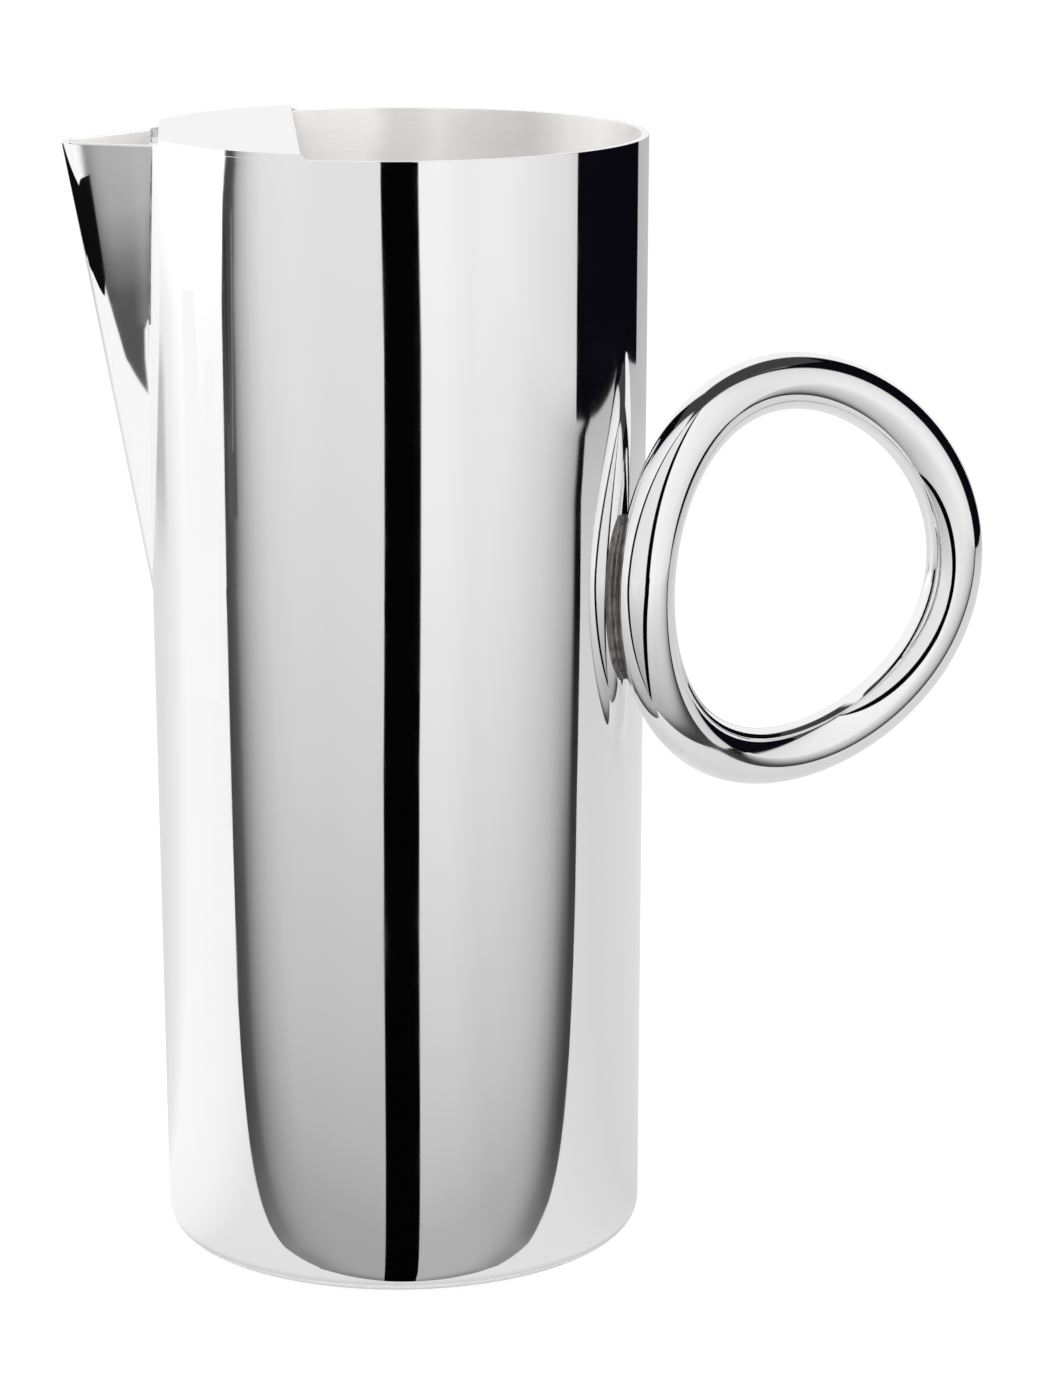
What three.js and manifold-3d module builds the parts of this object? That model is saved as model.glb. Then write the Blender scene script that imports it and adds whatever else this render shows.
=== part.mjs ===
// A tall silver-plated pitcher: a drawn cup with a folded spout, an ice guard and a twisted ring handle.
// Millimetres, +Z up. The origin is the centre of the flat base. The spout points along -X.
import * as THREE from 'three';
import { mergeVertices } from 'three/addons/utils/BufferGeometryUtils.js';
import Module from 'manifold-3d';

const wasm = await Module();
wasm.setup();

// Cup
const rimRadius = 50; // outside, at the rim
const baseRadius = 48.5; // outside, where the line of the side meets the table
const cupHeight = 224.5;
const wallThickness = 1.4;
const floorThickness = 2;
const baseCorner = 5; // outside radius between side and base

// Spout
const spoutReach = 15.4; // how far the nose stands out past the rim
const spoutHalfWidth = 15.8; // half of the mouth's width, where its top edges meet the rim
const spoutHeight = 91; // from the rim down to where the nose runs into the wall
const spoutSheet = 1.2;
const foldInside = 4.5; // inside radius of the fold along the nose
const spoutDrop = 0.3; // top edge below the rim, at the wall
const spoutFall = 0.6; // how much lower the top edge is at the nose than at the wall

// Ice guard
const guardThickness = 1.1;
const guardEdge = 19.6; // from the cup's axis to the plate's straight edge
const guardSetback = 1.1; // its short edge, back from where the spout meets the rim

// Ring handle
const ringRadius = 38.5; // to the middle of the tube
const ringTube = 5.7; // radius of the round section
const ringWarp = 3.8; // how far the ring bows out of its plane, saddle-wise
const ringTwist = THREE.MathUtils.degToRad(29); // its plane, turned from the plane of the spout
const ringSeat = THREE.MathUtils.degToRad(-30); // where it touches the wall, round from +X
const ringHeight = 136; // its middle, above the table
const ringNotch = 0.5; // how deep the round section would cut into the wall

// Brazed seams
const jointGap = 0.3; // room between two pieces that are fitted to each other
const ringFilm = 0.5; // filler metal between the ring and the wall
const ringBeadThrow = 1.6; // how far the filler stands out round the ring's tube
const ringBeadRise = 1.9; // how high it climbs from the wall
const ringBeadAbove = 16; // its ends, above and below the middle of the ring
const ringBeadBelow = 17.5;
const spoutBeadThrow = 0.9; // how far the filler stands out beside the spout's cheeks
const spoutBeadRise = 0.7;
const spoutBeadTop = 1; // below the spout's top edge
const spoutBeadBottom = 14; // above the foot of the spout
const guardBeadLength = 1.3;
const guardBeadHeight = 0.8;

// Fineness of the round surfaces
const cupSegments = 96;
const cornerSegments = 6;
const foldSegments = 8;
const ringSteps = 84;
const ringSides = 18;

// How far a cutting shape runs past what it cuts, and how close two corners count as one
const cutMargin = 8;
const weldDistance = 1e-4;

// Places that follow from the sizes above
const taper = (rimRadius - baseRadius) / cupHeight;
const wallRadius = (z) => baseRadius + taper * z;
const spoutFoot = cupHeight - spoutHeight;
const spoutTop = cupHeight - spoutDrop - spoutFall; // at the nose
const noseReach = rimRadius + spoutReach;
const noseRadius = foldInside + spoutSheet;
const noseLean = (noseReach - wallRadius(spoutFoot)) / (spoutTop - spoutFoot);
const throatDistance = Math.sqrt(rimRadius ** 2 - spoutHalfWidth ** 2);
const mouthDepth = noseReach - throatDistance;
const cheekRun = Math.hypot(mouthDepth - noseRadius, spoutHalfWidth);
const cheekAngle = Math.atan2(spoutHalfWidth, mouthDepth - noseRadius) - Math.asin(noseRadius / cheekRun);
const fallSlope = spoutFall / mouthDepth;
const cutterSpan = 4 * (noseReach + ringRadius + ringTube); // wider than the whole object
const ringAlong = new THREE.Vector2(Math.cos(ringTwist), Math.sin(ringTwist));
const ringNormal = new THREE.Vector2(Math.sin(ringTwist), -Math.cos(ringTwist));
const seatRadius = wallRadius(ringHeight) + ringTube - ringNotch;
const ringCentre = new THREE.Vector2(Math.cos(ringSeat), Math.sin(ringSeat))
  .multiplyScalar(seatRadius)
  .addScaledVector(ringAlong, ringRadius)
  .addScaledVector(ringNormal, -ringWarp);

const silverPlate = { color: 0xe9e9ec, roughness: 0.06, metalness: 1 };
const fillerMetal = { color: 0x7d756c, roughness: 0.45, metalness: 1 };

// A closed three.js geometry as a solid that can be joined and cut
function solidOf(geometry) {
  const bare = geometry.clone();
  bare.deleteAttribute('normal');
  bare.deleteAttribute('uv');
  const merged = mergeVertices(bare, weldDistance);
  return new wasm.Manifold(new wasm.Mesh({
    numProp: 3,
    vertProperties: new Float32Array(merged.attributes.position.array),
    triVerts: new Uint32Array(merged.index.array),
  }));
}

// A finished solid as a named mesh
function meshOf(name, solid, finish) {
  const { vertProperties, triVerts } = solid.getMesh();
  const geometry = new THREE.BufferGeometry();
  geometry.setAttribute('position', new THREE.BufferAttribute(vertProperties, 3));
  geometry.setIndex(new THREE.BufferAttribute(triVerts, 1));
  geometry.computeVertexNormals();
  const mesh = new THREE.Mesh(geometry, new THREE.MeshStandardMaterial(finish));
  mesh.name = name;
  return mesh;
}

// A profile of (radius, height) points turned about the cup's axis
function turned(points) {
  return solidOf(new THREE.LatheGeometry(points, cupSegments).rotateX(Math.PI / 2));
}

// Points on a quarter round, from below the centre to beside it
function quarterRound(centre, radius) {
  const arc = new THREE.EllipseCurve(centre.x, centre.y, radius, radius, -Math.PI / 2, 0);
  return arc.getPoints(cornerSegments);
}

// Everything inside the cup's outer surface, grown by a distance and run past both ends
function wallCone(grow) {
  const below = -cutMargin;
  const above = cupHeight + cutMargin;
  return turned([
    new THREE.Vector2(0, below),
    new THREE.Vector2(wallRadius(below) + grow, below),
    new THREE.Vector2(wallRadius(above) + grow, above),
    new THREE.Vector2(0, above),
  ]);
}

// A layer that lies round the cup's outer surface, from one distance to another
function wallLayer(near, far) {
  return wallCone(far).subtract(wallCone(near));
}

// A wide box between two heights
function heightBand(bottom, top) {
  const box = new THREE.BoxGeometry(cutterSpan, cutterSpan, top - bottom);
  return solidOf(box.translate(0, 0, (top + bottom) / 2));
}

// A wide, tall box between two places along Y
function sideBox(from, to) {
  const box = new THREE.BoxGeometry(cutterSpan, Math.abs(to - from), 2 * (cupHeight + cutMargin));
  return solidOf(box.translate(0, (from + to) / 2, 0));
}

// The folded section of the spout, drawn in by a distance, as a filled V with its nose at the origin
function veeShape(inset) {
  const back = mouthDepth + cutMargin;
  const round = noseRadius - inset;
  const halfBack = (round + (back - noseRadius) * Math.sin(cheekAngle)) / Math.cos(cheekAngle);
  const shape = new THREE.Shape();
  shape.moveTo(back, -halfBack);
  shape.lineTo(back, halfBack);
  if (round > 0) {
    const start = Math.PI / 2 + cheekAngle;
    shape.absarc(noseRadius, 0, round, start, 2 * Math.PI - start, false);
  } else {
    shape.lineTo(noseRadius - round / Math.sin(cheekAngle), 0);
  }
  shape.closePath();
  return shape;
}

// The V run along the leaning nose. The height is measured at the nose.
function veePrism(inset, bottom, top) {
  const options = { depth: top - bottom, bevelEnabled: false, curveSegments: foldSegments };
  const prism = new THREE.ExtrudeGeometry(veeShape(inset), options);
  const nose = -noseReach + noseLean * (spoutTop - bottom);
  return solidOf(prism.applyMatrix4(new THREE.Matrix4().set(
    1, 0, -noseLean, nose,
    0, 1, 0, 0,
    fallSlope, 0, 1, bottom,
    0, 0, 0, 1,
  )));
}

// The middle of the ring's tube: a circle that bows out of its plane twice in a turn
class RingPath extends THREE.Curve {
  getPoint(t, target = new THREE.Vector3()) {
    const turn = 2 * Math.PI * t;
    const plan = ringCentre.clone()
      .addScaledVector(ringAlong, ringRadius * Math.cos(turn))
      .addScaledVector(ringNormal, ringWarp * Math.cos(2 * turn));
    return target.set(plan.x, plan.y, ringHeight + ringRadius * Math.sin(turn));
  }
}

function ringTubeSolid(grow) {
  return solidOf(new THREE.TubeGeometry(new RingPath(), ringSteps, ringTube + grow, ringSides, true));
}

function makeCup() {
  const innerCorner = Math.max(baseCorner - wallThickness, wallThickness);
  const outerCentre = new THREE.Vector2(wallRadius(baseCorner) - baseCorner, baseCorner);
  const innerCentre = new THREE.Vector2(
    wallRadius(floorThickness + innerCorner) - wallThickness - innerCorner,
    floorThickness + innerCorner,
  );
  const cup = turned([
    new THREE.Vector2(0, 0),
    ...quarterRound(outerCentre, baseCorner),
    new THREE.Vector2(rimRadius, cupHeight),
    new THREE.Vector2(rimRadius - wallThickness, cupHeight),
    ...quarterRound(innerCentre, innerCorner).reverse(),
    new THREE.Vector2(0, floorThickness),
  ]);
  const throat = veePrism(spoutSheet, spoutFoot - cutMargin, cupHeight + cutMargin);
  return meshOf('body_cup', cup.subtract(throat), silverPlate);
}

function makeSpout() {
  const foot = spoutFoot - cutMargin;
  const sheet = veePrism(0, foot, spoutTop).subtract(veePrism(spoutSheet, foot, cupHeight + cutMargin));
  return meshOf('spout', sheet.subtract(wallCone(jointGap)), silverPlate);
}

// A thin bead of filler on the wall, along the outside of one cheek
function makeSpoutBraze(name, side) {
  const bottom = spoutFoot + spoutBeadBottom;
  const top = spoutTop - spoutBeadTop;
  const strip = veePrism(-spoutBeadThrow, bottom, top)
    .subtract(veePrism(-jointGap, spoutFoot - cutMargin, cupHeight + cutMargin));
  const half = sideBox(side * jointGap / 2, side * rimRadius);
  const bead = strip.intersect(wallLayer(jointGap, jointGap + spoutBeadRise)).intersect(half);
  return meshOf(name, bead, fillerMetal);
}

function makeGuard() {
  const throatTurn = Math.acos((throatDistance - guardSetback) / rimRadius);
  const edgeTurn = Math.acos(guardEdge / rimRadius);
  const plate = new THREE.Shape();
  plate.absarc(0, 0, rimRadius, Math.PI - edgeTurn, Math.PI - throatTurn, false);
  plate.absarc(0, 0, rimRadius, Math.PI + throatTurn, Math.PI + edgeTurn, false);
  plate.closePath();
  const options = { depth: guardThickness, bevelEnabled: false, curveSegments: cupSegments / 4 };
  const geometry = new THREE.ExtrudeGeometry(plate, options).translate(0, 0, cupHeight);
  return meshOf('ice_guard', solidOf(geometry), silverPlate);
}

// A wedge of filler on the rim, against one end of the guard's straight edge
function makeGuardBraze(name, side) {
  const wedge = new THREE.Shape();
  wedge.moveTo(0, 0);
  wedge.lineTo(guardBeadLength, 0);
  wedge.lineTo(0, guardBeadHeight);
  wedge.closePath();
  const run = new THREE.ExtrudeGeometry(wedge, { depth: rimRadius, bevelEnabled: false })
    .rotateX(Math.PI / 2)
    .translate(jointGap - guardEdge, side > 0 ? rimRadius : 0, cupHeight);
  return meshOf(name, solidOf(run).intersect(wallLayer(-wallThickness, 0)), fillerMetal);
}

function makeRing() {
  const ring = ringTubeSolid(0).subtract(wallCone(2 * jointGap + ringFilm));
  return meshOf('handle_ring', ring, silverPlate);
}

function makeRingBraze() {
  const ringRoom = ringTubeSolid(jointGap).subtract(wallCone(jointGap + ringFilm));
  const bead = ringTubeSolid(ringBeadThrow)
    .intersect(wallLayer(jointGap, jointGap + ringBeadRise))
    .intersect(heightBand(ringHeight - ringBeadBelow, ringHeight + ringBeadAbove))
    .subtract(ringRoom);
  return meshOf('handle_braze', bead, fillerMetal);
}

const pitcher = new THREE.Group();
pitcher.add(
  makeCup(),
  makeSpout(),
  makeSpoutBraze('spout_braze_near', -1),
  makeSpoutBraze('spout_braze_far', 1),
  makeGuard(),
  makeGuardBraze('guard_braze_near', -1),
  makeGuardBraze('guard_braze_far', 1),
  makeRing(),
  makeRingBraze(),
);

export default pitcher;
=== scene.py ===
import math

import bmesh
import bpy
from mathutils import Matrix, Vector, noise


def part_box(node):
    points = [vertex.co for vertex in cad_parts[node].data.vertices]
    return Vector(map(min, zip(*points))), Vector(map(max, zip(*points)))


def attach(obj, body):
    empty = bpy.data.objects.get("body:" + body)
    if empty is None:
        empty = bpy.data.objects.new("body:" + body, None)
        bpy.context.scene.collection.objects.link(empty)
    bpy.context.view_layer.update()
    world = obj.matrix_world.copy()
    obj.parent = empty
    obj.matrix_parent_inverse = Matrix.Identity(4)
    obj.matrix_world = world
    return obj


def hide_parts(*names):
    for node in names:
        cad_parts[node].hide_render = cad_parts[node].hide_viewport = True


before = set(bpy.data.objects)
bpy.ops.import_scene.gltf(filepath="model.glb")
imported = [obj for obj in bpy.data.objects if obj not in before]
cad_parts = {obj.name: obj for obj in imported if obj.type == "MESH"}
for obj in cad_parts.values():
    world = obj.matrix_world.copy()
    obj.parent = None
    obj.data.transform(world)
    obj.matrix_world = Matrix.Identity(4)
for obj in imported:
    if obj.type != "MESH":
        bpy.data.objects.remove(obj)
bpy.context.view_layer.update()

# A tall silver-plated pitcher: cup, folded spout, ice guard and twisted ring, brazed together.
# Metres, +Z up, the origin is the centre of the base and the spout points along -X.

scene = bpy.context.scene
scene.view_settings.view_transform = "Standard"
mm = 0.001


# Shader helpers

class Wire:
    # a socket that takes part in plain arithmetic
    def __init__(self, finish, socket):
        self.finish = finish
        self.socket = socket

    def maths(self, operation, first, second):
        return self.finish.node("Math", {"operation": operation}, {0: first, 1: second})

    def __add__(self, other):
        return self.maths("ADD", self, other)

    def __radd__(self, other):
        return self.maths("ADD", other, self)

    def __sub__(self, other):
        return self.maths("SUBTRACT", self, other)

    def __rsub__(self, other):
        return self.maths("SUBTRACT", other, self)

    def __mul__(self, other):
        return self.maths("MULTIPLY", self, other)

    def __rmul__(self, other):
        return self.maths("MULTIPLY", other, self)

    def __truediv__(self, other):
        return self.maths("DIVIDE", self, other)

    def __rtruediv__(self, other):
        return self.maths("DIVIDE", other, self)

    def __gt__(self, other):
        return self.maths("GREATER_THAN", self, other)

    def __lt__(self, other):
        return self.maths("LESS_THAN", self, other)


class Finish:
    # a material or the world, as a tree that nodes are added to
    def __init__(self, block):
        block.use_nodes = True
        self.block = block
        self.tree = block.node_tree
        self.tree.nodes.clear()

    # one node of any kind: settings first, then the values or wires of its sockets
    def node(self, kind, settings=None, sockets=None, out=0):
        made = self.tree.nodes.new("ShaderNode" + kind)
        for name, value in (settings or {}).items():
            if name == "stops":
                self.setStops(made.color_ramp, value)
            else:
                setattr(made, name, value)
        for key, value in (sockets or {}).items():
            if isinstance(value, Wire):
                self.tree.links.new(value.socket, made.inputs[key])
            else:
                made.inputs[key].default_value = value
        return Wire(self, made.outputs[out]) if made.outputs else None

    # a ramp's stops as (place, colour), a colour being a grey or three numbers
    def setStops(self, ramp, stops):
        while len(ramp.elements) < len(stops):
            ramp.elements.new(1.0)
        for element, (place, colour) in zip(ramp.elements, stops):
            element.position = place
            tint = colour if isinstance(colour, tuple) else (colour,) * 3
            element.color = (*tint, 1.0)

    def ramp(self, value, stops):
        return self.node("ValToRGB", {"stops": stops}, {0: value})

    # a ramp that runs once round, its stops as (degrees, level), with 0 degrees at its middle
    def roundRamp(self, turn, levels):
        return self.ramp(turn, [(degrees / 360 + 0.5, level) for degrees, level in levels])

    def mixColour(self, factor, first, second, blend="MIX"):
        settings = {"data_type": "RGBA", "blend_type": blend}
        return self.node("Mix", settings, {0: factor, 6: first, 7: second}, 2)

    def tinted(self, colour, by):
        return self.mixColour(1.0, colour, by, "MULTIPLY")

    def parts(self, vector):
        split = self.node("SeparateXYZ", None, {0: vector})
        return [Wire(self, socket) for socket in split.socket.node.outputs]

    # facts about the ray that sees the surface, by the names of their sockets
    def path(self, *names):
        sockets = self.node("LightPath").socket.node.outputs
        return [Wire(self, sockets[name]) for name in names]

    # the output goes in last
    def end(self, shader, output="OutputMaterial"):
        self.node(output, None, {"Surface": shader})
        return self.block


def grey(level):
    return (level, level, level, 1.0)


def newFinish(name):
    return Finish(bpy.data.materials.new(name))


# Mesh helpers

def bisect(function, low, high, steps=60):
    lowSign = function(low) > 0
    for _ in range(steps):
        middle = (low + high) / 2
        if (function(middle) > 0) == lowSign:
            low = middle
        else:
            high = middle
    return (low + high) / 2


def spread(first, last, count, power=1.0):
    return [first + (last - first) * (k / (count - 1)) ** power for k in range(count)]


def bowed(start, corner, end, steps):
    # a smooth hollow from start to end that heads for the corner first
    points = []
    for k in range(steps + 1):
        u = k / steps
        points.append(start * (1 - u) ** 2 + corner * 2 * u * (1 - u) + end * u ** 2)
    return points


def strip(rows, closedRound=False):
    # quads between neighbouring rows of vertex numbers
    faces = []
    for row, after in zip(rows, rows[1:]):
        count = len(row) if closedRound else len(row) - 1
        for k in range(count):
            n = (k + 1) % len(row)
            faces.append((row[k], row[n], after[n], after[k]))
    return faces


def skin(loops, capped=True):
    # points and faces over closed loops of points, with the two ends filled or joined to each other
    points = []
    rows = []
    for loop in loops:
        rows.append(list(range(len(points), len(points) + len(loop))))
        points += loop
    if capped:
        return points, strip(rows, closedRound=True) + [tuple(rows[0]), tuple(rows[-1])]
    return points, strip(rows + rows[:1], closedRound=True)


def makePiece(name, points, faces, finishes, node, finishOf=None, sharpAngle=35):
    mesh = bpy.data.meshes.new(name)
    mesh.from_pydata([tuple(p) for p in points], [], faces)
    shape = bmesh.new()
    shape.from_mesh(mesh)
    bmesh.ops.remove_doubles(shape, verts=shape.verts, dist=1e-7)
    bmesh.ops.dissolve_degenerate(shape, edges=shape.edges, dist=1e-7)
    bmesh.ops.recalc_face_normals(shape, faces=shape.faces)
    for face in shape.faces:
        face.smooth = True
        if finishOf:
            face.material_index = finishOf(face.calc_center_median())
    shape.to_mesh(mesh)
    shape.free()
    mesh.set_sharp_from_angle(angle=math.radians(sharpAngle))
    for finish in finishes:
        mesh.materials.append(finish)
    piece = bpy.data.objects.new(name, mesh)
    scene.collection.objects.link(piece)
    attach(piece, "root")
    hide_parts(node)
    print("made", name, "with", len(mesh.polygons), "faces")


# Sizes that more than one piece follows

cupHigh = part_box("body_cup")[1]
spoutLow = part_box("spout")[0]
guardLow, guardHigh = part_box("ice_guard")
ringLow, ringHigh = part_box("handle_ring")
seamLow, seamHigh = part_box("handle_braze")

cup = {
    "rimRadius": cupHigh[1],
    "height": cupHigh[2],
    "baseRadius": 48.5 * mm,
    "wall": 1.4 * mm,
    "floor": 2 * mm,
    "corner": 5 * mm,
    "innerCorner": 3.6 * mm,
    "rimRound": 0.04 * mm,
    "rimStay": 0.1 * mm,  # an extra row close under the rim
    "columns": 288,
    "wallRows": 40,
    "throatRows": 36,
    "arcSteps": 10,
    "rimSteps": 4,
    "floorRows": 10,
}

spout = {
    "reach": -spoutLow[0],
    "halfWidth": 15.8 * mm,
    "height": 91 * mm,
    "sheet": 1.2 * mm,
    "foldInside": 4.5 * mm,
    "drop": 0.3 * mm,  # below the rim
    "fall": 0.6 * mm,  # further down at the nose
    "edgeRound": 0.2 * mm,
    "edgeStay": 0.15 * mm,  # an extra row close under the edge
    "bury": 0.25 * mm,  # let into the wall
    "cheekColumns": 30,
    "noseColumns": 20,
    "rows": 60,
}

tubeRadius = 5.7 * mm

ring = {
    "tube": tubeRadius,
    "radius": (ringHigh[2] - ringLow[2]) / 2 - tubeRadius,
    "height": (ringHigh[2] + ringLow[2]) / 2,
    "warp": 3.8 * mm,  # how far it bows out of its plane
    "twist": math.radians(29),
    "seat": math.radians(-30),  # where it meets the cup, round from +X
    "notch": 0.5 * mm,
    "steps": 288,
    "sides": 56,
}

taper = (cup["rimRadius"] - cup["baseRadius"]) / cup["height"]
spoutFoot = cup["height"] - spout["height"]
spoutTop = cup["height"] - spout["drop"] - spout["fall"]
noseRadius = spout["foldInside"] + spout["sheet"]
throatDistance = math.sqrt(cup["rimRadius"] ** 2 - spout["halfWidth"] ** 2)
mouthDepth = spout["reach"] - throatDistance
fallSlope = spout["fall"] / mouthDepth
searchRoom = 20 * mm  # how far past the spout's ends a crossing is looked for


def wallRadius(z):
    return cup["baseRadius"] + taper * z


noseLean = (spout["reach"] - wallRadius(spoutFoot)) / (spoutTop - spoutFoot)
cheekRun = math.hypot(mouthDepth - noseRadius, spout["halfWidth"])
cheekAngle = math.atan2(spout["halfWidth"], mouthDepth - noseRadius) - math.asin(noseRadius / cheekRun)


def veeDepth(x, z):
    # how far a place lies behind the line of the nose, along +X
    flat = x + spout["reach"] - noseLean * (spoutTop - z)
    return flat / (1 + noseLean * fallSlope)


def veeHalf(depth, inset):
    # half the width of the folded section at a depth, drawn in by an inset
    bend = noseRadius - inset
    past = depth - noseRadius
    if past < -bend:
        return 0.0
    if past < -bend * math.sin(cheekAngle):
        return math.sqrt(max(bend ** 2 - past ** 2, 0.0))
    return (bend + past * math.sin(cheekAngle)) / math.cos(cheekAngle)


def throatTurn(radius, z, inset):
    # angle round from the spout where the folded section crosses a circle
    def over(turn):
        return veeHalf(veeDepth(-radius * math.cos(turn), z), inset) - radius * math.sin(turn)
    return bisect(over, 1e-6, 0.6) if over(1e-6) > 0 else 0.0


# Finishes

polish = {
    "tint": (0.97, 0.97, 0.975),
    "shade": (0.945, 0.94, 0.935),
    "roughness": 0.022,
    "haze": 0.03,
    "hairRough": 0.012,
    "speckRough": 0.006,
    "cloudScale": 55.0,
    "hairAcross": 900.0,
    "hairAlong": 26.0,
    "speckScale": 2600.0,
    "waveScale": 38.0,
    "waveHeight": 6e-6,
    "hairHeight": 4e-7,
}


def polishedSilver(name):
    f = newFinish(name)
    place = f.node("TexCoord", None, None, "Object")
    cloud = f.node("TexNoise", None, {"Vector": place, "Scale": polish["cloudScale"], "Detail": 4.0})
    x, y, z = f.parts(place)
    across, along = polish["hairAcross"], polish["hairAlong"]
    drawn = f.node("CombineXYZ", None, {0: x * across, 1: y * across, 2: z * along})
    hair = f.node("TexNoise", None, {"Vector": drawn, "Scale": 1.0, "Detail": 2.0})
    speck = f.node("TexNoise", None, {"Vector": place, "Scale": polish["speckScale"], "Detail": 1.0})
    tint = f.mixColour(cloud * 0.5, (*polish["tint"], 1), (*polish["shade"], 1))
    fog = f.ramp(cloud, [(0.42, 0.0), (0.75, 1.0)])
    rough = polish["roughness"] + fog * polish["haze"]
    rough = rough + hair * polish["hairRough"] + speck * polish["speckRough"]
    wave = f.node("TexNoise", None, {"Vector": place, "Scale": polish["waveScale"], "Detail": 1.0})
    broad = f.node("Bump", None, {"Strength": 1.0, "Distance": polish["waveHeight"], "Height": wave})
    fine = {"Strength": 1.0, "Distance": polish["hairHeight"], "Height": hair, "Normal": broad}
    bump = f.node("Bump", None, fine)
    shader = f.node("BsdfPrincipled", None, {
        "Base Color": tint, "Metallic": 1.0, "Roughness": rough, "Normal": bump})
    return f.end(shader)


satin = {
    "tint": (0.95, 0.94, 0.925),
    "shade": (0.88, 0.867, 0.845),
    "roughness": 0.3,
    "metallic": 0.5,
    "brushing": 0.75,
    "paintedReflectionBands": [  # painted reflections: broad lighter and darker bands in the colour, by angle round the cup, standing in for the room reflected in the satin
        (-180, 0.9), (-120, 0.84), (-60, 0.84), (-20, 1.0), (10, 0.9), (32, 1.0), (41, 0.94), (51, 0.7),
        (62, 0.73), (79, 0.9), (84, 0.8), (89, 0.81), (95, 1.0), (112, 0.99), (135, 0.85), (160, 0.95)],
    "grainRound": 5.0,
    "grainUp": 1500.0,
    "grainIn": 20.0,
    "grainHeight": 1.2e-5,
    "cloudScale": 60.0,
    "drift": 0.03,
}


def satinSilver(name):
    f = newFinish(name)
    place = f.node("TexCoord", None, None, "Object")
    x, y, z = f.parts(place)
    turn = f.node("Math", {"operation": "ARCTAN2"}, {0: y, 1: x})
    spun = f.node("CombineXYZ", None, {
        0: turn * satin["grainRound"], 1: z * satin["grainUp"], 2: x * satin["grainIn"]})
    grain = f.node("TexNoise", None, {"Vector": spun, "Scale": 1.0, "Detail": 5.0, "Roughness": 0.65})
    cloud = f.node("TexNoise", None, {"Vector": place, "Scale": satin["cloudScale"], "Detail": 3.0})
    worn = f.ramp(grain * 0.6 + cloud * 0.4, [(0.35, 0.0), (0.68, 1.0)])
    tint = f.mixColour(worn, (*satin["shade"], 1), (*satin["tint"], 1))
    drift = (cloud - 0.5) * satin["drift"]
    # painted reflection: the satin's colour made lighter or darker in bands by angle round the cup
    paintedReflection = f.roundRamp(turn / (2 * math.pi) + 0.5 + drift, satin["paintedReflectionBands"])
    tint = f.tinted(tint, paintedReflection)
    rough = satin["roughness"] + grain * 0.16 - cloud * 0.06
    bump = f.node("Bump", None, {"Strength": 0.5, "Distance": satin["grainHeight"], "Height": grain})
    shader = f.node("BsdfPrincipled", None, {
        "Base Color": tint, "Metallic": satin["metallic"], "Roughness": rough, "Normal": bump,
        "Anisotropic": satin["brushing"]})
    return f.end(shader)


filler = {
    "dark": (0.10, 0.092, 0.085),
    "middle": (0.33, 0.315, 0.295),
    "bright": (0.64, 0.63, 0.61),
    "roughness": 0.33,
    "scratchAcross": 2200.0,
    "scratchAlong": 140.0,
    "scratchHeight": 9e-5,
    "cloudScale": 420.0,
}


def brushedFiller(name):
    f = newFinish(name)
    place = f.node("TexCoord", None, None, "Object")
    x, y, z = f.parts(place)
    across, along = filler["scratchAcross"], filler["scratchAlong"]
    drawn = f.node("CombineXYZ", None, {0: x * across, 1: y * across, 2: z * along})
    scratch = f.node("TexNoise", None, {"Vector": drawn, "Scale": 1.0, "Detail": 4.0})
    cloud = f.node("TexNoise", None, {"Vector": place, "Scale": filler["cloudScale"], "Detail": 4.0})
    mark = scratch * 0.6 + cloud * 0.4
    tint = f.ramp(mark, [(0.32, filler["dark"]), (0.5, filler["middle"]), (0.7, filler["bright"])])
    rough = filler["roughness"] + scratch * 0.3
    bump = f.node("Bump", None, {"Strength": 0.7, "Distance": filler["scratchHeight"], "Height": scratch})
    shader = f.node("BsdfPrincipled", None, {
        "Base Color": tint, "Metallic": 1.0, "Roughness": rough, "Normal": bump})
    return f.end(shader)


outside = polishedSilver("polishedSilver")
inside = satinSilver("satinSilver")
seam = brushedFiller("brushedFiller")
print("finishes ready")


# Cup: one turned wall, open at the throat behind the spout

def quarter(centreRadius, centreHeight, radius, fromAngle, toAngle, steps):
    points = []
    for angle in spread(fromAngle, toAngle, steps + 1):
        points.append((centreRadius + radius * math.cos(angle), centreHeight + radius * math.sin(angle)))
    return points


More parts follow.
